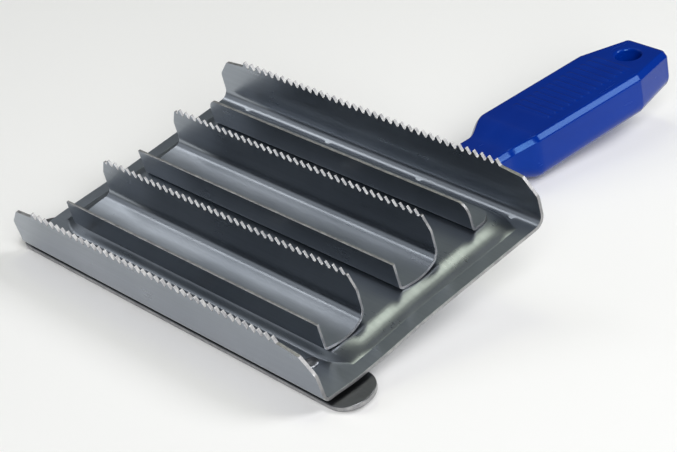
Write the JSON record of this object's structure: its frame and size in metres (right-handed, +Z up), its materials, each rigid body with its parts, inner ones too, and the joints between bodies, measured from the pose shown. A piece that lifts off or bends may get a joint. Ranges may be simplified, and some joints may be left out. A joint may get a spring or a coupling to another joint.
{
  "type": "curry comb",
  "caption": "Metal curry comb with rows of toothed blades on a folded plate, a knocker bar under the front edge and a moulded grip with a hanging hole.",
  "frame": {"origin": "centre of the footprint on the ground, with the comb lying on its back, teeth up, on the knocker bar and the heel of the handle", "axes": "+X along the rows of teeth, +Y from the head towards the end of the handle, +Z up; the head is tipped 15.44 degrees about +X, so its rear is higher than its front"},
  "size_m": [0.1544, 0.2098, 0.0422],
  "materials": {
    "zinc_plated_steel": "satin, zinc plated cold rolled sheet with bright sheared edges",
    "rivet_steel": "satin, a little darker than the sheet",
    "blue_plastic": "smooth semi-gloss royal blue moulding"
  },
  "bodies": {
    "root": {"base_plate": "zinc_plated_steel", "front_channel": "zinc_plated_steel", "middle_channel": "zinc_plated_steel", "rear_angle": "zinc_plated_steel", "knocker_bar": "zinc_plated_steel", "tang": "zinc_plated_steel", "knocker_rivet_left": "rivet_steel", "knocker_rivet_middle": "rivet_steel", "knocker_rivet_right": "rivet_steel", "tang_rivet_front": "rivet_steel", "tang_rivet_rear": "rivet_steel", "handle": "blue_plastic"}
  },
  "joints": []
}
